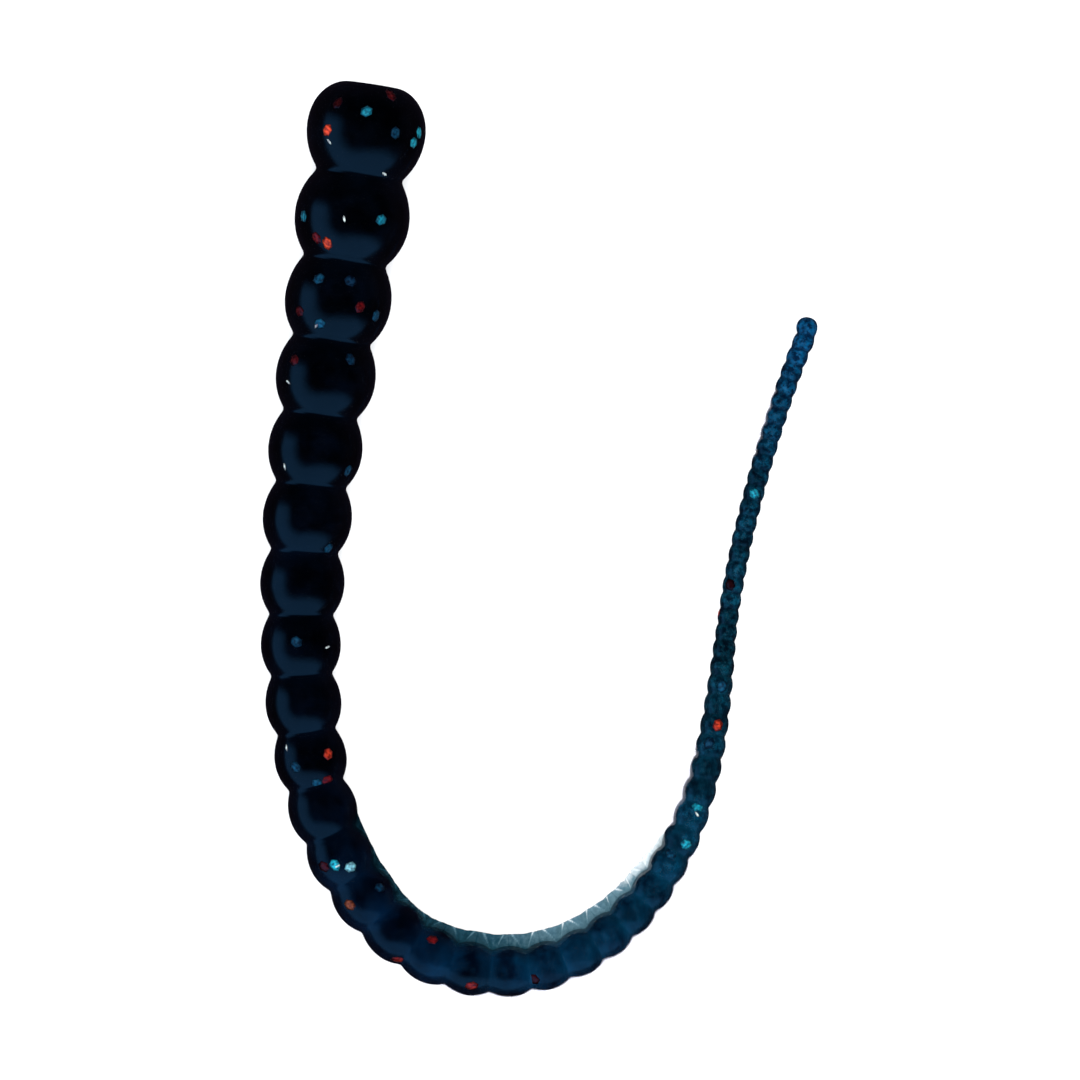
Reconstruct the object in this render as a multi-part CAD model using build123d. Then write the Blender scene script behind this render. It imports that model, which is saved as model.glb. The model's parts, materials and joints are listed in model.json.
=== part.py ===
"""Ribbed soft plastic worm, nominal 7 inch, lying flat in a long U.

The worm is cast as a string of 54 rounded rings that shrink from the flat-cut nose to the tail tip. Each
ring is a solid of its own here. Its rear end is a ball that sits in a socket in the front of the next ring,
so the worm bends at the necks as the soft plastic does. Glitter flakes lie in the skin of the first rings.

Millimetres. +Z is up, +Y runs from the bend to the nose, +X runs from the head limb to the tail limb.
The origin is the middle of the worm's footprint, on the surface that it lies on.
"""

import os
from math import cos, radians, sin, sqrt

from build123d import *

# rings, numbered from 1 at the nose
RING_COUNT = 54
HEAD_LENGTH = 9.2
HEAD_CREST = 6.0
TIP_LENGTH = 1.8
TAIL_PITCH = 1.6
PITCH_BASE = -0.87
PITCH_SWELL = 9.59
PITCH_SHRINK = 0.932
PITCH_EASE = 0.85
CREST_TO_PITCH = 0.665

# tip: how far along it its shoulder is, how far out that is of its crest, and its slopes at both ends
TIP_CREST_SHARE = 0.4
TIP_SHOULDER_SHARE = 0.82
TIP_SHOULDER_RATIO = 0.78
TIP_TANGENTS = [(1, 0.6), (0, -1)]

# necks
NECK_RATIO_TAIL = 0.83
NECK_RATIO_DROP = 0.09
NECK_RATIO_SHRINK = 0.92
SOCKET_CLEARANCE = 0.03
STRAIGHT_TILT = 14
BEND_TILT = 22
BEND_RINGS = range(11, 29)

# nose
NOSE_RIM = 4.35
NOSE_ROUNDING = 1.5

# glitter
FLAKE_ACROSS = 0.9
FLAKE_THICKNESS = 0.1
FLAKE_DEPTH = 0.02
POCKET_CLEARANCE = 0.01
POCKET_HEIGHT = 0.6
SKIN_LEAN = 80

# where the worm's middle line runs on the table, from the nose to the tail tip
COURSE = [
    (-16.9, 46.1),
    (-20.1, 26.4),
    (-23.1, 6.6),
    (-24.2, -11.4),
    (-22.5, -25.2),
    (-18.7, -34.5),
    (-13.4, -40.3),
    (-6.0, -43.2),
    (1.9, -42.3),
    (8.6, -38.1),
    (13.8, -30.8),
    (17.2, -20.4),
    (19.1, -6.5),
    (22.4, 8.1),
    (27.5, 22.7),
]

# flakes by ring and colour: (share of the ring's length, degrees round from the top towards the tail limb)
FLAKES = {
    (1, "red"): [(0.5, -42), (0.2, 28), (0.27, -36)],
    (1, "blue"): [(0.33, 4), (0.55, 40), (0.5, 75), (0.72, 68), (0.84, 30)],
    (2, "red"): [(0.62, -22), (0.68, -34)],
    (2, "blue"): [(0.4, -52), (0.38, -8), (0.36, 44), (0.7, 58)],
    (3, "red"): [(0.58, 26), (0.6, -48)],
    (3, "blue"): [(0.2, -30), (0.78, -22), (0.8, 34), (0.3, 8)],
}


def ring_length(ring):
    if ring == 1:
        return HEAD_LENGTH
    if ring == RING_COUNT:
        return TIP_LENGTH
    shrinking = PITCH_BASE + PITCH_SWELL * PITCH_SHRINK ** ((ring - 2) ** PITCH_EASE)
    return max(TAIL_PITCH, shrinking)


def crest_radius(ring):
    if ring == 1:
        return HEAD_CREST
    return CREST_TO_PITCH * ring_length(min(ring, RING_COUNT - 1))


def neck_radius(neck):
    """The neck behind the ring of the same number."""
    ratio = NECK_RATIO_TAIL - NECK_RATIO_DROP * NECK_RATIO_SHRINK**neck
    return ratio * (crest_radius(neck) + crest_radius(neck + 1)) / 2


def neck_tilt(neck):
    """How far the two rings at a neck can lean from one line, in degrees, with room to spare."""
    return BEND_TILT if neck in BEND_RINGS else STRAIGHT_TILT


def stations():
    """The nose, every neck and the tip, on the middle line, as high as lets every crest touch the table."""
    course = Spline(*[(x, y, 0) for x, y in COURSE])
    lengths = [ring_length(ring) for ring in range(1, RING_COUNT + 1)]
    points = []
    for passed in range(RING_COUNT + 1):
        distance = course.length * sum(lengths[:passed]) / sum(lengths)
        on_table = course.position_at(distance, position_mode=PositionMode.LENGTH)
        beside = max(passed, 1), min(passed + 1, RING_COUNT)
        height = (crest_radius(beside[0]) + crest_radius(beside[1])) / 2
        points.append(Vector(on_table.X, on_table.Y, height))
    return points


def ring_plane(front, rear):
    """A frame at the ring's front neck: its x runs along the ring and its y runs level, across the ring."""
    along = (rear - front).normalized()
    across = Vector(0, 0, 1).cross(along).normalized()
    return Plane(origin=front, x_dir=along, z_dir=along.cross(across))


def bulge(start, crest, end):
    """A ring's outer line: a near-circular arch from rim to rim."""
    half = (end[0] - start[0]) / 2
    slopes = []
    for rim in (start, end):
        rise = crest - rim[1]
        slopes.append(2 * rise * half / (half**2 - rise**2))
    return Spline(start, (start[0] + half, crest), end, tangents=[(1, slopes[0]), (1, -slopes[1])])


def ring_section(ring, length):
    """Half of a ring's section on its own frame: x along the ring, y outwards."""
    crest = crest_radius(ring)
    if ring == 1:
        hollow = 0
        start = (0, NOSE_RIM)
        front = [Line((0, 0), start)]
    else:
        hollow = neck_radius(ring - 1) + SOCKET_CLEARANCE
        start = (0, hollow)
        front = [ThreePointArc((hollow, 0), (hollow * sqrt(0.5), hollow * sqrt(0.5)), start)]
    if ring == RING_COUNT:
        end = length
        fullest = (TIP_CREST_SHARE * length, crest)
        rounding = (TIP_SHOULDER_SHARE * length, TIP_SHOULDER_RATIO * crest)
        back = [Spline(start, fullest, rounding, (end, 0), tangents=TIP_TANGENTS)]
    else:
        ball = neck_radius(ring)
        end = length + ball
        lean = radians(neck_tilt(ring))
        shoulder = (length - ball * sin(lean), ball * cos(lean))
        beyond = (length + ball * sqrt(0.5), ball * sqrt(0.5))
        back = [bulge(start, crest, shoulder), ThreePointArc(shoulder, beyond, (end, 0))]
    return make_face(front + back + [Line((end, 0), (hollow, 0))])


def ring_solid(ring, front, rear):
    place = ring_plane(front, rear)
    solid = revolve(ring_section(ring, (rear - front).length), Axis.X, 360)
    if ring == 1:
        nose_edge = solid.edges().filter_by(GeomType.CIRCLE).sort_by(Axis.X)[0]
        solid = fillet(nose_edge, NOSE_ROUNDING)
    return place.location * solid


def surface_radius(ring, share):
    """A ring's outer radius at a share of its length, from the arc through its two rims and its crest."""
    length = ring_length(ring)
    rim = NOSE_RIM if ring == 1 else neck_radius(ring - 1)
    crest = crest_radius(ring)
    half = length / 2
    drop = crest - rim
    arc = (half**2 + drop**2) / (2 * drop)
    return crest - arc + sqrt(arc**2 - ((share - 0.5) * length) ** 2)


def flake_prisms(ring, front, rear, spots, across, thickness, lift):
    """Hexagonal prisms lying level with the ring's skin, lifted from the flakes' own seats."""
    place = ring_plane(front, rear)
    length = (rear - front).length
    prisms = []
    for share, turn in spots:
        lean = (share - 0.5) * SKIN_LEAN
        seat = surface_radius(ring, share) - FLAKE_DEPTH - FLAKE_THICKNESS + lift
        prism = extrude(RegularPolygon(across / 2, 6, major_radius=False), thickness)
        prism = Rot(-turn, 0, 0) * Location((share * length, 0, seat), (0, lean, 0)) * prism
        prisms.append(place.location * prism)
    return prisms


def build():
    """Every node by name, in place, as a list of its solids."""
    points = stations()
    nodes = {}
    for ring in range(1, RING_COUNT + 1):
        front, rear = points[ring - 1], points[ring]
        solid = ring_solid(ring, front, rear)
        for colour in ("red", "blue"):
            spots = FLAKES.get((ring, colour), [])
            if spots:
                wide = FLAKE_ACROSS + 2 * POCKET_CLEARANCE
                pockets = flake_prisms(ring, front, rear, spots, wide, POCKET_HEIGHT, -POCKET_CLEARANCE)
                flakes = flake_prisms(ring, front, rear, spots, FLAKE_ACROSS, FLAKE_THICKNESS, 0)
                nodes[f"{ring_name(ring)}_{colour}_flakes"] = flakes
                for pocket in pockets:
                    solid = solid - pocket
        nodes[ring_name(ring)] = [solid]
    return nodes


def ring_name(ring):
    if ring == 1:
        return "head_ring"
    if ring == RING_COUNT:
        return "tail_tip"
    return f"ring_{ring:02d}"


def on_origin(nodes):
    """The move that puts the footprint's middle on the origin and the lowest crest on the table."""
    boxes = [solid.bounding_box() for solids in nodes.values() for solid in solids]
    low = [min(tuple(box.min)[i] for box in boxes) for i in range(3)]
    high = [max(tuple(box.max)[i] for box in boxes) for i in range(3)]
    return Location((-(low[0] + high[0]) / 2, -(low[1] + high[1]) / 2, -low[2]))


os.makedirs("parts", exist_ok=True)
all_nodes = build()
shift = on_origin(all_nodes)
for name, solids in all_nodes.items():
    moved = [shift * solid for solid in solids]
    export_step(moved[0] if len(moved) == 1 else Compound(moved), f"parts/{name}.step")
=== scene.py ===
"""Looks for the ribbed soft plastic worm.

A smooth skin lies over its rings and is cut at each ring's middle, into one piece round each neck.
It carries the parting line, the thin flash round the bend, a pale see-through sheet on the bend's outer
side that is painted caustic light, and the glitter flakes.
"""

import json
import math
import random

import bpy
import numpy as np
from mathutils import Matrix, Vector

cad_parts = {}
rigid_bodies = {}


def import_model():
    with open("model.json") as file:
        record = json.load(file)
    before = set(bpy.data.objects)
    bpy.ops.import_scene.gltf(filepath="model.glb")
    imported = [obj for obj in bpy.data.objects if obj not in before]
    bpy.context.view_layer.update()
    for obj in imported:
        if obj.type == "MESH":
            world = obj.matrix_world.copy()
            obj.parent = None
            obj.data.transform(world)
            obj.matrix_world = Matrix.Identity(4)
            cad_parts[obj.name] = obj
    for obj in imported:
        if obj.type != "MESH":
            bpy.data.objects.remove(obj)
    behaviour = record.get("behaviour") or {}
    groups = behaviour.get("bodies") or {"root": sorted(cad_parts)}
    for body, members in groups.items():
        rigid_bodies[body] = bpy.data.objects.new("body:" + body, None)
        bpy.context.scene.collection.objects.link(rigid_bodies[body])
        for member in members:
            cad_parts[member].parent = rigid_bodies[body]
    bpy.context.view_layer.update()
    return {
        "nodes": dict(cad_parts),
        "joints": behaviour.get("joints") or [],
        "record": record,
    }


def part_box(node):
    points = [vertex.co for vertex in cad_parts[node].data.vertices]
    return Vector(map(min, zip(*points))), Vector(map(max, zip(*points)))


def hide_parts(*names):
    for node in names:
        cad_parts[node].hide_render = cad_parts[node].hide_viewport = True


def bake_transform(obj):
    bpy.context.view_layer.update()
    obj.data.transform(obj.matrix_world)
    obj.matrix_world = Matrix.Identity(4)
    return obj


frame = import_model()

MM = 0.001
FLAKE_NODES = [name for name in frame["nodes"] if name.endswith("_flakes")]
MIDDLE_RINGS = sorted(name for name in frame["nodes"] if name[:5] == "ring_" and name not in FLAKE_NODES)
RINGS = ["head_ring", *MIDDLE_RINGS, "tail_tip"]
LAST = len(RINGS)

# rings: where their arch ends, in shares of the crest radius, and the fillet at each neck, in mm
ARC_TO_NECK = 0.035
FILLET_LEAST = 0.1
FILLET_GROWTH = 0.035

# necks, in shares of the crest radius beside them
NECK_TAIL = 0.83
NECK_DROP = 0.09
NECK_SHRINK = 0.92

# nose: its flat face's rows in mm out, and the control points of its rim as (share of the ring, mm out)
NOSE_FACE = (0.0, 0.7, 1.4, 2.0)
NOSE_CURVE = [(0.0, 2.5), (0.0, 4.0), (0.18, 6.0), (0.5, 6.0)]
NOSE_ROWS = 27

# tip: where its crest is, and how square its end is
TIP_CREST = 0.42
TIP_POWER = 2.4
TIP_ROWS = 34
TIP_NECK_ROWS = 9

# rows from neck to neck: how many to the crest, and how much closer together they are near the necks
THICK_RINGS = 20
THICK_ROWS = (19, 0.45)
THIN_ROWS = (11, 0.35)

# columns round the worm, in degrees, with closer ones beside the parting line
COLUMN_STEP = 3.0
SEAM_STEPS = [0.25, 0.6, 1.0, 1.5, 2.1]

# unevenness of the casting: its waves, and the size of each in mm at the head, less on thinner rings
WAVE_COUNT = 7
WAVE_RATES = (0.25, 1.3)
WAVE_HEIGHT = 0.006
HEAD_CREST = 6
FULL_WAVE_RADIUS = 2

# parting line: degrees round from the top, and the rings between which that changes
SEAM_HEAD = 63
SEAM_BEND = 86
SEAM_TURN = (7, 13)

# parting line: its ridge in mm, and where it starts to show behind the nose and to fade before the tip
SEAM_HEIGHT = 0.05
SEAM_WIDTH = 0.07
SEAM_START = 1.2
SEAM_RISE = 1.5
SEAM_FADE = 3

# the plastic's mottling and unevenness, as noise scales per metre
PATCH_SCALE = 230
BROAD_SCALE = 480
DIMPLE_SCALE = 650
FINE_SCALE = 1500
GRAIN_SCALE = 5200

# overhead lamp, in metres, with its radiance, and the floor's half width
LAMP_HEIGHT = 1.2
LAMP_SIZE = (1.8, 1.8)
LAMP_RADIANCE = 5.8
FLOOR_HALF = 4

# window walls to the left and the front, seen only in the gloss, in shares of the direction towards them:
# where each starts from overhead, how round and soft their corner is, and where their foot and ends fade
WINDOW_START = (-0.58, -0.42)
WINDOW_CORNER = 0.35
WINDOW_SOFTNESS = 0.32
WINDOW_FOOT = (-0.06, 0.12)
WINDOW_LEFT_END = (0.5, 0.2)
WINDOW_FRONT_END = (0.95, 0.6)
WINDOW_COLOUR = (0.07, 0.25, 0.56, 1)

# the rest of the room: its colours near the floor and overhead, and the white that the camera sees
ROOM_RISE = (-0.2, 0.5)
ROOM_LOW = (0.012, 0.009, 0.016, 1)
ROOM_HIGH = (0.001, 0.002, 0.003, 1)
BACKDROP = (0.95, 0.95, 0.95, 1)

# camera, in metres: its place, the level that it is framed on, and how much of that level it sees across
CAMERA_PLACE = (-0.00004, -0.00015, 0.9)
FRAMED_LEVEL = 0.003
FRAMED_WIDTH = 0.1091
SENSOR_WIDTH = 36

# flakes, in mm: each is a hexagon with points at its corners and between them, in rounds of
# (share of its size, height over the skin), from a crowned middle to a bottom under the skin
FLAKE_RADIUS = 0.68
FLAKE_STRETCH = (1.0, 0.85)
RIM_POINTS = 12
FLAKE_CROWN = 0.024
FLAKE_ROUNDS = [(0.5, 0.022), (1.0, 0.016), (0.97, -0.05)]
FLAKE_BOTTOM = -0.08
RING_MARGIN = 0.02

# blue flakes above this shade are slim white painted glints: a painted highlight on the flake, drawn
# white in its colour
PAINTED_GLINT_SHADE = 0.95
GLINT_SIZE = (0.55, 0.2)

# other flakes, scattered on the underside: how many on a square millimetre, how far they reach round from
# the bottom in radians, and along each ring
SCATTER_DENSITY = 0.007
SCATTER_TURN = 1.5
SCATTER_SHARES = (0.25, 0.75)

# flakes by colour: (ring, share of its length, degrees from the top towards the inside of the U, shade)
FLAKES = {
    "red": [
        (1, 0.58, -39, 0.85), (1, 0.09, 27, 0.2), (1, 0.27, -34, 0.05), (2, 0.83, -22, 0.9),
        (2, 0.79, -36, 0.35), (3, 0.7, -44, 0.15), (3, 0.52, 27, 0.35), (4, 0.33, -42, 0.2),
        (10, 0.44, 32, 0.6), (10, 0.94, 26, 0.4), (12, 0.5, -35, 0.1), (13, 0.4, -30, 1.0),
        (14, 0.9, -53, 0.5), (15, 0.31, 35, 0.45), (16, 0.58, -37, 0.5), (18, 0.06, -28, 0.05),
        (29, 0.48, -14, 0.65), (37, 0.5, 20, 0.0),
    ],
    "blue": [
        (1, 0.32, -1, 0.6), (1, 0.5, 31, 0.3), (1, 0.45, 64, 0.8), (1, 0.57, 57, 0.75),
        (2, 0.46, 32, 0.6), (2, 0.57, -56, 0.6), (3, 0.26, -25, 0.35), (3, 0.81, -16, 0.5),
        (3, 0.6, 51, 0.4), (3, 0.22, 12, 0.05), (4, 0.2, 30, 0.1), (5, 0.73, 54, 0.35),
        (6, 0.92, 43, 0.3), (8, 0.42, -5, 0.25), (10, 0.57, -26, 0.3), (10, 0.96, 4, 0.5),
        (12, 0.56, -14, 0.8), (12, 0.74, 10, 0.85), (13, 0.47, 39, 0.15), (25, 0.9, -12, 0.7),
        (24, 0.42, -21, 0.7), (23, 0.9, 12, 0.5), (28, 0.6, 10, 0.2), (31, 0.4, -10, 0.5),
        (43, 0.43, -4, 0.7), (1, 0.7, -36, 1.0), (1, 0.95, 34, 1.0), (2, 0.52, -6, 1.0),
        (3, 0.84, -20, 1.0), (4, 0.63, -46, 1.0), (5, 0.78, -39, 1.0), (8, 0.52, 43, 1.0),
        (10, 0.21, -39, 1.0), (12, 0.6, -11, 1.0), (25, 0.6, -16, 1.0),
    ],
}

# thin flash left on the parting line, by ring: (how far beyond the crest in mm, paleness)
INNER_FLASH = {
    11: (-0.1, 0.0), 12: (0.1, 0.05), 13: (0.3, 0.1), 14: (0.3, 0.15), 15: (0.7, 0.2), 16: (1.15, 0.3),
    17: (1.2, 0.4), 18: (1.2, 0.5), 19: (1.15, 0.6), 20: (1.1, 0.6), 21: (0.9, 0.65), 22: (0.8, 0.9),
    23: (0.6, 1.1), 24: (-0.1, 1.0),
}
# painted caustic light: a pale see-through sheet on the parting line on the bend's outer side, by ring,
# with the same columns
OUTER_CAUSTIC_SHEET = {
    15: (-0.1, 1.0), 16: (0.1, 1.0), 17: (0.3, 1.0), 18: (0.35, 1.0), 19: (0.4, 1.0), 20: (0.45, 1.0),
    21: (0.4, 1.0), 22: (0.35, 1.0), 23: (0.2, 1.0), 24: (0.05, 1.0),
}
TORN_FLASH = {
    24: (-0.1, 1.0), 25: (0.6, 1.0), 26: (0.9, 1.0), 27: (0.3, 1.0), 28: (-0.1, 1.0), 45: (-0.1, 1.0),
    46: (0.2, 1.0), 47: (0.3, 1.0), 48: (0.25, 1.0), 49: (0.25, 1.0), 50: (-0.1, 1.0),
}

# flash, in mm: its film, its root's depth, how far it stands out at least, its folds and its ragged edge
FLASH_THICKNESS = 0.08
FLASH_ROOT = 0.12
FLASH_LEAST = 0.1
FLASH_FOLD = 0.45
FLASH_RAGGED = 0.03
TORN_PALENESS = 0.6
TORN_RAGGED = 0.5
FLASH_ROWS = 33
FLASH_COLUMNS = 9
TEAR_COUNT = 9

# a fold's place along the film, how it spreads towards the edge, its widths, and the crease beside it,
# along which a pale line is painted as a painted highlight
FOLD_PLACE = (0.4, 0.6)
FOLD_SPREAD = (0.6, 1.0)
FOLD_WIDTHS = (0.08, 0.35)
CREASE = 0.15
CREASE_HIGHLIGHT = 0.5
ROOT_TONE = 0.7


# ---------------------------------------------------------------- the worm's line and rings, in mm


def read_line():
    """The nose, every neck and the tip."""
    necks = {}
    for joint in frame["joints"]:
        first = min(RINGS.index(joint["parent"]), RINGS.index(joint["child"]))
        necks[first] = joint["pos_m"]
    nose = next(m for m in frame["record"]["mounts"] if m["name"] == "nose_face")["pos_m"]
    points = np.array([nose, *(necks[i] for i in range(LAST - 1))]) / MM
    end = np.array([v.co for v in frame["nodes"]["tail_tip"].data.vertices]) / MM
    tip = end[np.argmax(np.linalg.norm(end - points[-1], axis=1))]
    return np.vstack([points, tip])


def unit(v):
    return v / np.linalg.norm(v, axis=-1, keepdims=True)


P = read_line()
LENGTH = np.linalg.norm(np.diff(P, axis=0), axis=1)
START = np.concatenate([[0], np.cumsum(LENGTH)])
HEADING = unit(np.vstack([P[1] - P[0], P[2:] - P[:-2], P[-1] - P[-2]]))
CREST = np.array([(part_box(name)[1].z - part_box(name)[0].z) / 2 / MM for name in RINGS])
NECK = np.array([
    (NECK_TAIL - NECK_DROP * NECK_SHRINK ** (i + 1)) * (CREST[i] + CREST[i + 1]) / 2
    for i in range(LAST - 1)
])


def line(ring, t):
    """Points and headings on the smooth middle line of ring 0, 1, ... at shares t of its length."""
    t = np.asarray(t, float)[..., None]
    a, b, size = P[ring], P[ring + 1], LENGTH[ring]
    u, v = HEADING[ring] * size, HEADING[ring + 1] * size
    point = a * (2 * t**3 - 3 * t**2 + 1) + u * (t**3 - 2 * t**2 + t)
    point = point + b * (3 * t**2 - 2 * t**3) + v * (t**3 - t**2)
    slope = a * (6 * t**2 - 6 * t) + u * (3 * t**2 - 4 * t + 1)
    slope = slope + b * (6 * t - 6 * t**2) + v * (3 * t**2 - 2 * t)
    return point, unit(slope)


def bezier(points, share):
    a, b, c, d = (np.array(p) for p in points)
    share = np.asarray(share, float)[:, None]
    left = 1 - share
    return a * left**3 + 3 * b * share * left**2 + 3 * c * share**2 * left + d * share**3


def radius(ring, t):
    """A ring's radius at shares t of its length: an arch from neck to neck with a fillet at each."""
    t = np.asarray(t, float)
    crest, half = CREST[ring], LENGTH[ring] / 2
    front = NECK[ring - 1] if ring else NECK[0]
    rear = NECK[ring] if ring < LAST - 1 else NECK[-1]
    neck = np.where(t < 0.5, front, rear)
    wide, rise = half - ARC_TO_NECK * crest, crest - neck
    bow = (wide**2 + rise**2) / (2 * rise)
    arc = crest - bow + np.sqrt(np.maximum(bow**2 - ((t - 0.5) * 2 * half) ** 2, 0))
    fillet = FILLET_LEAST + FILLET_GROWTH * crest
    near = np.clip(1 - np.abs(arc - neck) / fillet, 0, 1)
    shape = np.maximum(arc, neck) + fillet * near**3 / 6
    if ring == 0:
        curve = bezier(NOSE_CURVE, np.linspace(0, 1, 60))
        shape = np.where(t < 0.5, np.interp(t, curve[:, 0], curve[:, 1]), shape)
    if ring == LAST - 1:
        past = np.clip((t - TIP_CREST) / (1 - TIP_CREST), 0, 1)
        swell = np.clip(t / TIP_CREST, 0, 1)
        rising = NECK[-1] + (crest - NECK[-1]) * np.sin(swell * math.pi / 2)
        shape = np.where(t < TIP_CREST, rising, crest * np.sqrt(1 - past**TIP_POWER))
    return shape


def seam_angle(position):
    """How far round from the top, towards the inside of the U, the parting line is, by place along."""
    first, last = (START[ring] for ring in SEAM_TURN)
    share = np.clip((position - first) / (last - first), 0, 1)
    return np.radians(SEAM_HEAD + (SEAM_BEND - SEAM_HEAD) * share * share * (3 - 2 * share))


def frame_at(ring, t):
    """Point, heading, side (towards the inside of the U) and up of the middle line."""
    point, along = line(ring, t)
    side = unit(np.cross([0.0, 0.0, 1.0], along))
    return point, along, side, np.cross(along, side)


WAVES = random.Random(11)
WOBBLE = [
    (WAVES.uniform(*WAVE_RATES), WAVES.choice([1, 2, 3]), WAVES.uniform(0, 6.28), WAVES.uniform(0, 6.28))
    for _ in range(WAVE_COUNT)
]


def wobble(position, angle):
    """Slight unevenness of the casting, in mm."""
    total = 0
    for rate, around, shift, turn in WOBBLE:
        total = total + np.sin(rate * position + shift) * np.cos(around * angle + turn)
    return WAVE_HEIGHT * total


# ---------------------------------------------------------------- the skin as a grid of rows and columns


def steps_along(count, crowding):
    """Shares of a ring's length from neck to neck, closer together near the necks."""
    even = np.linspace(0, 1, count)
    front = 0.5 * (crowding * (1 - np.cos(even * math.pi / 2)) + (1 - crowding) * even)
    return np.concatenate([front, 1 - front[-2::-1]])


def column_angles():
    """Angles round from the parting line."""
    even = np.radians(np.arange(0, 360, COLUMN_STEP))
    beside = np.radians(SEAM_STEPS)
    closer = [beside, -beside % (2 * math.pi), math.pi + beside, math.pi - beside]
    return np.sort(np.unique(np.round(np.concatenate([even, *closer]), 6)))


THICK_STEPS = steps_along(*THICK_ROWS)
THIN_STEPS = steps_along(*THIN_ROWS)
COLUMNS = column_angles()


def ring_rows(ring):
    """(share of the ring's length, radius) of its rows."""
    if ring == 0:
        face = [(0.0, r) for r in NOSE_FACE]
        rim = [tuple(x) for x in bezier(NOSE_CURVE, np.linspace(0, 1, NOSE_ROWS))]
        rest = [t for t in THICK_STEPS if t > 0.5 + 1e-6]
        return face + rim + list(zip(rest, radius(0, rest)))
    if ring == LAST - 1:
        t = np.sin(np.linspace(0, math.pi / 2, TIP_ROWS))
        t = np.unique(np.round(np.concatenate([t, np.linspace(0, 0.5, TIP_NECK_ROWS)]), 9))
        return list(zip(t[1:], radius(ring, t[1:])))
    steps = (THICK_STEPS if ring < THICK_RINGS else THIN_STEPS)[1:]
    return list(zip(steps, radius(ring, steps)))


def make_grid():
    """The whole skin: each row's ring, share, radius, heading and middle, with its points and normals."""
    rows = {"ring": [], "t": [], "r": []}
    for ring in range(LAST):
        for t, r in ring_rows(ring):
            rows["ring"].append(ring)
            rows["t"].append(t)
            rows["r"].append(r)
    ring, t, r = (np.array(rows[k]) for k in ("ring", "t", "r"))
    frames = [frame_at(i, x) for i, x in zip(ring, t)]
    point, along, side, up = (np.array([f[i] for f in frames]) for i in range(4))
    position = START[ring] + t * LENGTH[ring]
    angle = seam_angle(position)[:, None] + COLUMNS[None, :]
    full = np.minimum(1, r / FULL_WAVE_RADIUS)[:, None]
    scale = (CREST[ring] / HEAD_CREST) ** 0.5
    reach = r[:, None] + wobble(position[:, None], angle) * full * scale[:, None]
    shown = np.clip((position - SEAM_START) / SEAM_RISE, 0, 1)
    fade = np.clip((START[-1] - position) / SEAM_FADE, 0, 1)
    height, width = SEAM_HEIGHT * scale * shown * fade, SEAM_WIDTH * scale
    for line_at in (0, math.pi):
        away = (COLUMNS - line_at + math.pi) % (2 * math.pi) - math.pi
        reach = reach + height[:, None] * np.exp(-((away[None, :] * r[:, None] / width[:, None]) ** 2))
    reach = reach * (r > 0)[:, None]
    out = np.cos(angle)[..., None] * up[:, None, :] + np.sin(angle)[..., None] * side[:, None, :]
    grid = point[:, None, :] + reach[..., None] * out
    run = np.concatenate([[0], np.cumsum(np.hypot(np.diff(position), np.diff(r)))])
    d_row = np.gradient(grid, run, axis=0)
    d_col = np.roll(grid, -1, axis=1) - np.roll(grid, 1, axis=1)
    normal = np.cross(d_row, d_col)
    normal[0], normal[-1] = -along[0], along[-1]
    return {
        "ring": ring, "t": t, "r": r, "along": along, "point": point, "position": position,
        "grid": grid, "normal": unit(normal),
    }


# ---------------------------------------------------------------- pieces


def add_piece(name, points, faces, material, corner_normals=None):
    """A smooth-shaded mesh object from points in mm, with its own corner normals where they are given."""
    mesh = bpy.data.meshes.new(name)
    mesh.from_pydata([tuple(p) for p in np.asarray(points) * MM], [], faces)
    mesh.materials.append(material)
    mesh.shade_smooth()
    if corner_normals is not None:
        mesh.normals_split_custom_set([tuple(n) for n in corner_normals])
    mesh.update()
    piece = bpy.data.objects.new(name, mesh)
    bpy.context.scene.collection.objects.link(piece)
    return piece


def point_values(piece, name, values):
    values = np.asarray(values, np.float32)
    kind, key = ("FLOAT_VECTOR", "vector") if values.ndim == 2 else ("FLOAT", "value")
    piece.data.attributes.new(name, kind, "POINT").data.foreach_set(key, values.ravel())


def bend_over(piece):
    """Bakes the piece's placement into its points."""
    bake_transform(piece)


def on_skin(ring, t, angle, lift):
    """A point lifted from the skin of ring 0, 1, ... at a share t of its length and an angle round."""
    t = min(max(t, RING_MARGIN), 1 - RING_MARGIN)
    point, _, side, up = frame_at(ring, t)
    uneven = wobble(START[ring] + t * LENGTH[ring], angle) * (CREST[ring] / HEAD_CREST) ** 0.5
    reach = float(radius(ring, t)) + uneven + lift
    return point + reach * (math.cos(angle) * up + math.sin(angle) * side)


def flake_mesh(ring, share, turn, spin, stretch):
    """Points, faces and distance-from-the-middle of one hexagonal flake laid in the skin."""
    across = float(radius(ring, share))
    points, edge = [on_skin(ring, share, turn, FLAKE_CROWN)], [0.0]
    for width, lift in FLAKE_ROUNDS:
        for corner in range(RIM_POINTS):
            reach = 1.0 if corner % 2 == 0 else math.cos(math.pi / 6)
            long = reach * stretch[0] * math.cos(corner * 2 * math.pi / RIM_POINTS)
            wide = reach * stretch[1] * math.sin(corner * 2 * math.pi / RIM_POINTS)
            along = width * FLAKE_RADIUS * (long * math.cos(spin) - wide * math.sin(spin))
            round_it = width * FLAKE_RADIUS * (long * math.sin(spin) + wide * math.cos(spin))
            points.append(on_skin(ring, share + along / LENGTH[ring], turn + round_it / across, lift))
            edge.append(width)
    points.append(on_skin(ring, share, turn, FLAKE_BOTTOM))
    edge.append(1.0)
    faces = []
    for i in range(RIM_POINTS):
        k = (i + 1) % RIM_POINTS
        faces.append((0, 1 + i, 1 + k))
        for inner in (1, 1 + RIM_POINTS):
            outer = inner + RIM_POINTS
            faces.append((inner + i, outer + i, outer + k, inner + k))
        faces.append((1 + 2 * RIM_POINTS + i, len(points) - 1, 1 + 2 * RIM_POINTS + k))
    return points, faces, edge


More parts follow.
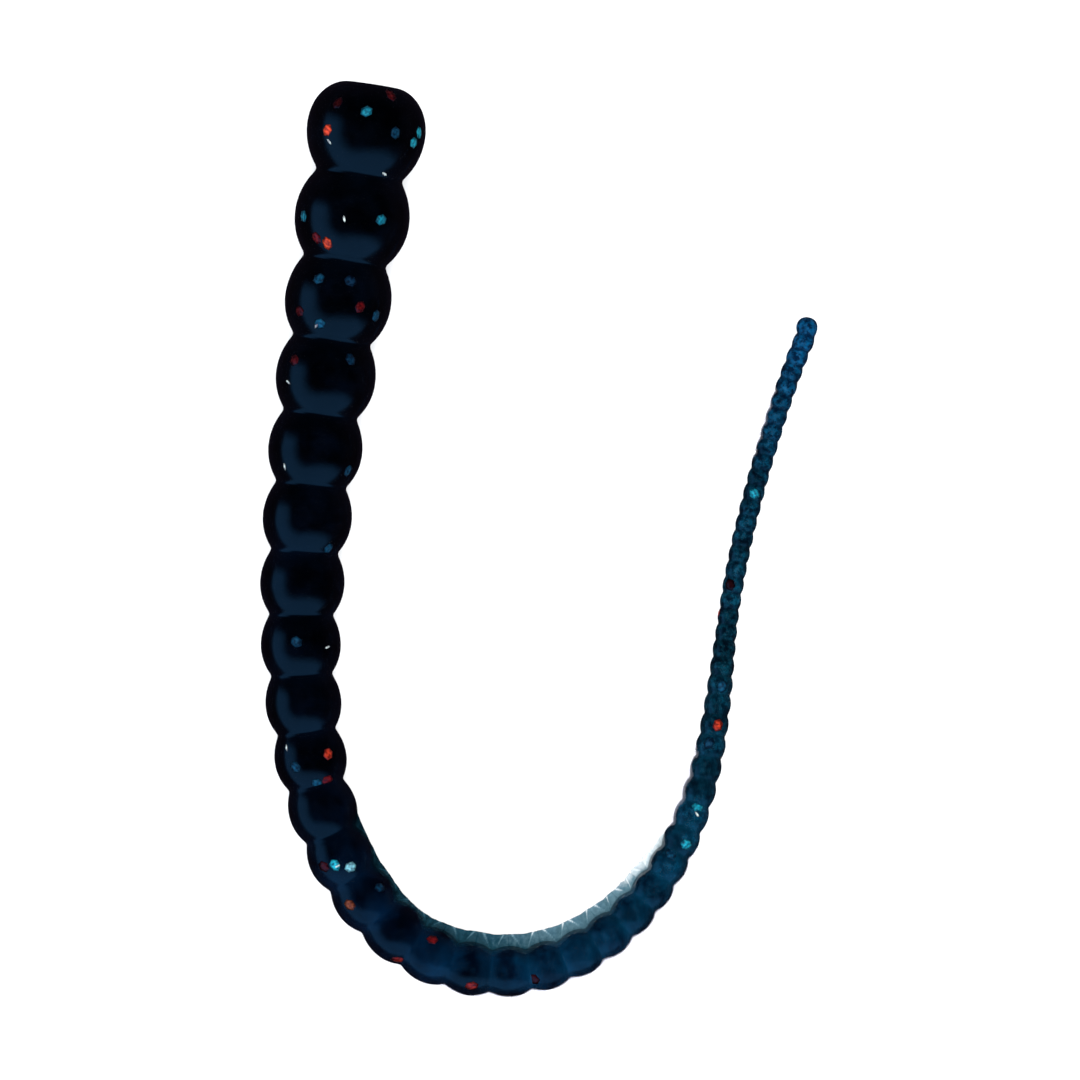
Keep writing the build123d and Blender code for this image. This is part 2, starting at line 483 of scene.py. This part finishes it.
def all_flakes():
    """The listed flakes and the scattered ones, by colour and by the nearer neck."""
    chance = random.Random(5)
    groups = {}
    for colour, listed in FLAKES.items():
        spots = [(ring - 1, share, math.radians(turn), shade) for ring, share, turn, shade in listed]
        for ring in range(LAST):
            wanted = SCATTER_DENSITY * math.pi * CREST[ring] * LENGTH[ring]
            for _ in range(int(wanted + chance.random())):
                turn = math.pi + chance.uniform(-SCATTER_TURN, SCATTER_TURN)
                spots.append((ring, chance.uniform(*SCATTER_SHARES), turn, chance.random() ** 2))
        for ring, share, turn, shade in spots:
            neck = min(max(ring + 1 if share >= 0.5 else ring, 1), LAST - 1)
            groups.setdefault((colour, neck), []).append((ring, share, turn, shade, chance.uniform(0, 3)))
    return groups


def flake_piece(colour, neck, spots, material):
    """The flakes of one colour round a neck."""
    points, faces, edge, shades = [], [], [], []
    for ring, share, turn, shade, spin in spots:
        stretch = GLINT_SIZE if colour == "blue" and shade > PAINTED_GLINT_SHADE else FLAKE_STRETCH
        corners, sides, rim = flake_mesh(ring, share, turn, spin, stretch)
        faces += [tuple(i + len(points) for i in side) for side in sides]
        points += corners
        edge += rim
        shades += [shade] * len(corners)
    piece = add_piece(f"{colour}_flakes_{neck:02d}", points, faces, material)
    point_values(piece, "edge", edge)
    point_values(piece, "shade", shades)
    point_values(piece, "rest", np.array(points) * MM)
    bend_over(piece)
    replaced = f"{RINGS[neck - 1]}_{colour}_flakes"
    if replaced in FLAKE_NODES:
        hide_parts(replaced)


def sheet(top, bottom):
    """Points and faces of a closed thin sheet from the two grids of its sides."""
    rows, columns = top.shape[:2]
    at = np.arange(rows * columns).reshape(rows, columns)
    under = at + rows * columns
    faces = []
    for i in range(rows - 1):
        for j in range(columns - 1):
            faces.append((at[i, j], at[i, j + 1], at[i + 1, j + 1], at[i + 1, j]))
            faces.append((under[i, j], under[i + 1, j], under[i + 1, j + 1], under[i, j + 1]))
    rim = [*at[0, :-1], *at[:-1, -1], *at[-1, :0:-1], *at[:0:-1, 0]]
    low = [*under[0, :-1], *under[:-1, -1], *under[-1, :0:-1], *under[:0:-1, 0]]
    for k in range(len(rim)):
        n = (k + 1) % len(rim)
        faces.append((rim[k], low[k], low[n], rim[n]))
    points = np.vstack([top.reshape(-1, 3), bottom.reshape(-1, 3)])
    return points, [tuple(int(i) for i in face) for face in faces]


def flash_piece(name, neck, reach, turn, material, chance):
    """A film from the middle of the ring before the neck to the middle of the ring behind it."""
    before, behind = reach[neck], reach[neck + 1]
    peak, spread = chance.uniform(*FOLD_PLACE), chance.uniform(*FOLD_SPREAD)
    across = np.linspace(0, 1, FLASH_COLUMNS)
    tears = [chance.uniform(-1, 1) for _ in range(TEAR_COUNT)]
    fold_width = FOLD_WIDTHS[0] + FOLD_WIDTHS[1] * spread * across
    top, bottom, tone = [], [], []
    for u in np.linspace(0, 1, FLASH_ROWS):
        ring, t = (neck - 1, 0.5 + u) if u <= 0.5 else (neck, u - 0.5)
        point, _, side, up = frame_at(ring, t)
        angle = turn(START[ring] + t * LENGTH[ring])
        out = math.cos(angle) * up + math.sin(angle) * side
        rise = math.sin(angle) * up - math.cos(angle) * side
        inside = float(radius(ring, t)) - FLASH_ROOT
        edge = (1 - u) * (CREST[neck - 1] + before[0]) + u * (CREST[neck] + behind[0])
        pale = (1 - u) * before[1] + u * behind[1]
        ragged = FLASH_RAGGED + TORN_RAGGED * max(pale - TORN_PALENESS, 0)
        torn = ragged * float(np.interp(u, np.linspace(0, 1, TEAR_COUNT), tears))
        edge = max(edge + torn, inside + FLASH_LEAST)
        fold = np.clip(1 - abs(u - peak) / fold_width, 0, 1)
        # painted highlight: a pale line along the crease beside the fold
        crease = np.clip(1 - np.abs(fold - CREASE) / CREASE, 0, 1)
        line_at = point + np.outer(inside + (edge - inside) * across, out)
        line_at = line_at + np.outer(FLASH_FOLD * fold * across, rise)
        top.append(line_at + rise * FLASH_THICKNESS / 2)
        bottom.append(line_at - rise * FLASH_THICKNESS / 2)
        tone.append(pale * (ROOT_TONE + (1 - ROOT_TONE) * across) + CREASE_HIGHLIGHT * crease * across)
    points, faces = sheet(np.array(top), np.array(bottom))
    piece = add_piece(f"{name}_{neck:02d}", points, faces, material)
    point_values(piece, "tone", np.tile(np.concatenate(tone), 2))
    point_values(piece, "rest", points * MM)
    bend_over(piece)


def skin_piece(neck, body, material):
    """The skin from the middle of the ring before the neck to the middle of the ring behind it."""
    middles = np.abs(body["t"] - 0.5) < 1e-6
    ahead, behind = (np.flatnonzero((body["ring"] == ring) & middles)[0] for ring in (neck - 1, neck))
    first = 0 if neck == 1 else ahead
    last = len(body["r"]) - 1 if neck == LAST - 1 else behind
    rows, count = np.arange(first, last + 1), len(COLUMNS)
    points, values, at, rest = [], [], [], {}
    for row in rows:
        pole = body["r"][row] == 0 or row == len(body["r"]) - 1
        rest[row] = [len(points)] * count if pole else list(range(len(points), len(points) + count))
        points += [body["point"][row]] if pole else list(body["grid"][row])
        values += [body["position"][row]] * (1 if pole else count)
        at += [body["t"][row]] * (1 if pole else count)
    faces, corners = [], []
    for row in rows[:-1]:
        for j in range(count):
            k = (j + 1) % count
            ids = [(row, j), (row + 1, j), (row + 1, k), (row, k)]
            seen = []
            for i, c in ids:
                if rest[i][c] not in [s[0] for s in seen]:
                    seen.append((rest[i][c], body["normal"][i, c]))
            faces.append([s[0] for s in seen])
            corners += [s[1] for s in seen]
    for row, flip in ((first, True), (last, False)):
        if body["r"][row] == 0 or row == len(body["r"]) - 1:
            continue
        loop = rest[row]
        faces.append(loop if flip else loop[::-1])
        corners += [body["along"][row] * (-1 if flip else 1)] * count
    piece = add_piece(f"skin_{neck:02d}", points, faces, material, corners)
    point_values(piece, "along", np.array(values) / START[-1])
    point_values(piece, "rest", np.array(points) * MM)
    point_values(piece, "crest", 1 - np.abs(np.array(at) - 0.5) * 2)
    bend_over(piece)
    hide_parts(RINGS[neck - 1])
    if neck == LAST - 1:
        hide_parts(RINGS[neck])


# ---------------------------------------------------------------- materials


class Paint:
    """Short ways to build a material's nodes."""

    def __init__(self, name):
        self.material = bpy.data.materials.new(name)
        self.material.use_nodes = True
        self.tree = self.material.node_tree
        self.shader = self.tree.nodes["Principled BSDF"]

    def set(self, **values):
        """Constants on the shader's own sockets."""
        for key, value in values.items():
            self.shader.inputs[key.replace("_", " ")].default_value = value

    def feed(self, socket, value):
        """A link from another socket, or a constant."""
        if isinstance(value, bpy.types.NodeSocket):
            self.tree.links.new(value, socket)
        else:
            socket.default_value = value

    def add(self, kind, **values):
        node = self.tree.nodes.new(kind)
        for key, value in values.items():
            self.feed(node.inputs[key.replace("_", " ")], value)
        return node

    def attribute(self, name):
        node = self.tree.nodes.new("ShaderNodeAttribute")
        node.attribute_name = name
        return node

    def noise(self, vector, scale, detail=2.0, roughness=0.5):
        values = {"Vector": vector, "Scale": scale, "Detail": detail, "Roughness": roughness}
        return self.add("ShaderNodeTexNoise", **values).outputs[0]

    def ramp(self, value, stops):
        node = self.add("ShaderNodeValToRGB", Fac=value)
        points = node.color_ramp.elements
        while len(points) < len(stops):
            points.new(0.5)
        for point, (at, colour) in zip(points, stops):
            point.position = at
            point.color = (*colour, 1)
        return node.outputs[0]

    def math(self, operation, a, b=0.0, c=0.0):
        node = self.tree.nodes.new("ShaderNodeMath")
        node.operation = operation
        for socket, value in zip(node.inputs, (a, b, c)):
            self.feed(socket, value)
        return node.outputs[0]

    def mix(self, share, a, b, way="MIX"):
        node = self.tree.nodes.new("ShaderNodeMix")
        node.data_type = "RGBA"
        node.blend_type = way
        for socket, value in zip((node.inputs[0], node.inputs[6], node.inputs[7]), (share, a, b)):
            self.feed(socket, value)
        return node.outputs[2]

    def bump(self, height, strength, distance, normal=None):
        node = self.add("ShaderNodeBump", Height=height, Strength=strength, Distance=distance)
        if normal is not None:
            self.tree.links.new(normal, node.inputs["Normal"])
        return node.outputs[0]

    def link(self, socket, name):
        self.tree.links.new(socket, self.shader.inputs[name])


def plastisol():
    """Wet-looking mottled soft plastic, almost black in the thick head and deep blue in the thin tail,
    with painted light along the necks: a painted highlight in the thicker head and bend, and painted
    shade in the thin tail's creases.
    """
    paint = Paint("plastisol")
    along = paint.attribute("along").outputs["Fac"]
    rest = paint.attribute("rest").outputs["Vector"]
    crest = paint.attribute("crest").outputs["Fac"]
    body = paint.ramp(along, [
        (0.0, (0.0001, 0.0003, 0.0009)),
        (0.40, (0.0001, 0.0004, 0.0015)),
        (0.50, (0.0001, 0.0022, 0.0085)),
        (0.60, (0.0002, 0.0065, 0.0190)),
        (0.68, (0.0003, 0.0110, 0.0270)),
        (0.80, (0.0004, 0.0100, 0.0200)),
        (0.90, (0.0005, 0.0140, 0.0320)),
        (1.0, (0.0005, 0.0210, 0.0640)),
    ])
    pale = paint.mix(1.0, body, (3.0, 3.2, 2.7, 1.0), "MULTIPLY")
    dark = paint.mix(1.0, body, (0.5, 0.3, 0.35, 1.0), "MULTIPLY")
    fine = paint.ramp(paint.noise(rest, FINE_SCALE, 4.0, 0.7), [(0.42, (0, 0, 0)), (0.68, (1, 1, 1))])
    blotches = [(0.38, (0, 0, 0)), (0.72, (0.6, 0.6, 0.6))]
    broad = paint.ramp(paint.noise(rest, BROAD_SCALE, 3.0, 0.6), blotches)
    patches = [(0.3, (0.45, 0.42, 0.4)), (0.7, (1.35, 1.35, 1.35))]
    patch = paint.ramp(paint.noise(rest, PATCH_SCALE), patches)
    thin = paint.ramp(along, [(0.58, (0, 0, 0)), (0.80, (1, 1, 1))])
    colour = paint.mix(paint.mix(thin, broad, fine), dark, pale)
    # painted light at the necks: paler there in the thicker head and bend as a painted highlight, and
    # darker in the creases between the thin tail's rings as painted shade
    neck = paint.math("POWER", paint.math("SUBTRACT", 1.0, crest), 3.0)
    colour = paint.mix(paint.math("MULTIPLY", neck, 0.55), colour, paint.mix(thin, pale, dark))
    paint.link(paint.mix(1.0, colour, patch, "MULTIPLY"), "Base Color")
    paint.link(paint.math("MULTIPLY_ADD", paint.noise(rest, FINE_SCALE), 0.12, 0.12), "Roughness")
    grain = paint.bump(paint.noise(rest, GRAIN_SCALE, 3.0, 0.6), 0.4, 0.00002)
    paint.link(paint.bump(paint.noise(rest, DIMPLE_SCALE), 0.5, 0.00006, grain), "Normal")
    paint.set(IOR=1.5, Coat_Weight=0.3, Coat_Roughness=0.1, Coat_IOR=1.5)
    return paint.material


def flake_paint(name, stops):
    """Metallic flake under the gloss, darker at its rim where the plastic closes over it."""
    paint = Paint(name)
    shade = paint.attribute("shade").outputs["Fac"]
    edge = paint.attribute("edge").outputs["Fac"]
    rest = paint.attribute("rest").outputs["Vector"]
    speckle = paint.ramp(paint.noise(rest, 3500.0, 2.0), [(0.35, (0.2, 0.15, 0.2)), (0.62, (1, 1, 1))])
    colour = paint.mix(1.0, paint.ramp(shade, stops), speckle, "MULTIPLY")
    rim = paint.math("MULTIPLY", paint.math("POWER", edge, 2.5), 0.85)
    paint.link(paint.mix(rim, colour, (0.0006, 0.001, 0.003, 1)), "Base Color")
    paint.link(paint.bump(paint.noise(rest, 2500.0, 2.0), 0.3, 0.00003), "Normal")
    paint.set(Metallic=0.3, Roughness=0.3, Coat_Weight=0.3, Coat_Roughness=0.1)
    return paint.material


def flash_paint(name, stops, alpha):
    """Thin film of the same plastic, pale where it is thinnest, with a painted highlight where it is
    folded; the pale see-through one also makes the sheet of painted caustic light.
    """
    paint = Paint(name)
    tone = paint.attribute("tone").outputs["Fac"]
    rest = paint.attribute("rest").outputs["Vector"]
    uneven = paint.math("MULTIPLY_ADD", paint.noise(rest, 2200.0, 3.0, 0.6), 0.4, -0.2)
    paint.link(paint.ramp(paint.math("ADD", tone, uneven), stops), "Base Color")
    paint.link(paint.bump(paint.noise(rest, 1800.0, 2.0), 0.5, 0.00005), "Normal")
    paint.set(Roughness=0.25, IOR=1.5, Alpha=alpha)
    return paint.material


# ---------------------------------------------------------------- stage, lights and camera


def stage():
    mesh = bpy.data.meshes.new("floor")
    corners = [(x * FLOOR_HALF, y * FLOOR_HALF, 0) for x, y in ((-1, -1), (1, -1), (1, 1), (-1, 1))]
    mesh.from_pydata(corners, [], [(0, 1, 2, 3)])
    floor = bpy.data.objects.new("floor", mesh)
    bpy.context.scene.collection.objects.link(floor)
    paint = Paint("pale_board")
    paint.set(Base_Color=(0.9, 0.9, 0.9, 1), Roughness=0.9, Specular_IOR_Level=0.1)
    mesh.materials.append(paint.material)
    floor.visible_glossy = False


def overhead_lamp():
    """A broad lamp above, which lights the floor evenly and doesn't show in the gloss."""
    light = bpy.data.lights.new("overhead", "AREA")
    light.shape = "RECTANGLE"
    light.size, light.size_y = LAMP_SIZE
    light.energy = LAMP_RADIANCE * math.pi * LAMP_SIZE[0] * LAMP_SIZE[1]
    light.color = (1.0, 1.0, 1.0)
    lamp = bpy.data.objects.new("overhead", light)
    lamp.location = (0, 0, LAMP_HEIGHT)
    lamp.visible_camera = False
    lamp.visible_glossy = False
    bpy.context.scene.collection.objects.link(lamp)


class Room(Paint):
    """The world's nodes, built with the same short ways."""

    def __init__(self):
        world = bpy.data.worlds.new("room")
        bpy.context.scene.world = world
        world.use_nodes = True
        self.tree = world.node_tree
        self.background = self.tree.nodes["Background"]

    def between(self, value, low, high):
        """0 at low, 1 at high, and smooth from one to the other."""
        node = self.add("ShaderNodeMapRange", Value=value, From_Min=low, From_Max=high)
        node.interpolation_type = "SMOOTHSTEP"
        return node.outputs[0]


def room():
    """A dim room whose window walls, low to the left and the front, show only in the gloss."""
    world = Room()
    direction = world.tree.nodes.new("ShaderNodeTexCoord").outputs["Generated"]
    x, y, z = world.add("ShaderNodeSeparateXYZ", Vector=direction).outputs
    past = []
    for value, start in zip((x, y), WINDOW_START):
        over = world.math("SUBTRACT", start + WINDOW_CORNER, value)
        past.append(world.math("MAXIMUM", over, 0.0))
    reach = world.add("ShaderNodeCombineXYZ", X=past[0], Y=past[1]).outputs[0]
    far = world.tree.nodes.new("ShaderNodeVectorMath")
    far.operation = "LENGTH"
    world.tree.links.new(reach, far.inputs[0])
    window = world.between(far.outputs["Value"], WINDOW_CORNER, WINDOW_CORNER + WINDOW_SOFTNESS)
    for value, ends in ((z, WINDOW_FOOT), (y, WINDOW_LEFT_END), (x, WINDOW_FRONT_END)):
        window = world.math("MULTIPLY", window, world.between(value, *ends))
    dim = world.mix(world.between(z, *ROOM_RISE), ROOM_LOW, ROOM_HIGH)
    seen = world.mix(window, dim, WINDOW_COLOUR)
    path = world.tree.nodes.new("ShaderNodeLightPath")
    colour = world.mix(path.outputs["Is Camera Ray"], seen, BACKDROP)
    world.tree.links.new(colour, world.background.inputs["Color"])


def camera():
    data = bpy.data.cameras.new("camera")
    data.sensor_width = SENSOR_WIDTH
    data.lens = SENSOR_WIDTH * (CAMERA_PLACE[2] - FRAMED_LEVEL) / FRAMED_WIDTH
    data.clip_start, data.clip_end = 0.05, 20
    lens = bpy.data.objects.new("camera", data)
    lens.location = CAMERA_PLACE
    bpy.context.scene.collection.objects.link(lens)
    bpy.context.scene.camera = lens
    bpy.context.scene.view_settings.view_transform = "Standard"


def add_skin():
    body, material = make_grid(), plastisol()
    for neck in range(1, LAST):
        skin_piece(neck, body, material)


def add_flakes():
    looks = {
        "red": flake_paint("red_flake", [
            (0.0, (0.01, 0.001, 0.0015)), (0.45, (0.14, 0.005, 0.007)),
            (0.85, (0.85, 0.07, 0.02)), (1.0, (0.20, 0.05, 0.018)),
        ]),
        "blue": flake_paint("blue_flake", [
            (0.0, (0.002, 0.012, 0.035)), (0.5, (0.005, 0.07, 0.14)),
            # white at the top of the blue flakes' colours is a painted glint
            (0.8, (0.01, 0.42, 0.55)), (1.0, (0.75, 0.9, 0.85)),
        ]),
    }
    for (colour, neck), spots in all_flakes().items():
        flake_piece(colour, neck, spots, looks[colour])


def add_flash():
    inner_film = flash_paint("inner_film", [
        (0.0, (0.0006, 0.004, 0.007)), (0.3, (0.006, 0.03, 0.045)),
        (0.65, (0.06, 0.12, 0.15)), (1.0, (0.45, 0.5, 0.52)),
    ], 1.0)
    # pale see-through film for the torn flash, and for the sheet of painted caustic light on the bend's
    # outer side
    pale_flash_and_caustic_light = flash_paint("pale_flash_and_caustic_light", [(0.0, (0.5, 0.48, 0.6)), (1.0, (0.85, 0.83, 0.9))], 0.35)
    chance = random.Random(21)
    for neck in range(1, LAST):
        for name, reach, turn, material in (
            ("flash_inner", INNER_FLASH, seam_angle, inner_film),
            # a pale sheet on the bend's outer side: painted caustic light
            ("caustic_light_outer", OUTER_CAUSTIC_SHEET, lambda position: seam_angle(position) - math.pi, pale_flash_and_caustic_light),
            ("flash_torn", TORN_FLASH, seam_angle, pale_flash_and_caustic_light),
        ):
            if neck in reach and neck + 1 in reach:
                flash_piece(name, neck, reach, turn, material, chance)


camera()
stage()
overhead_lamp()
room()
add_skin()
add_flakes()
add_flash()
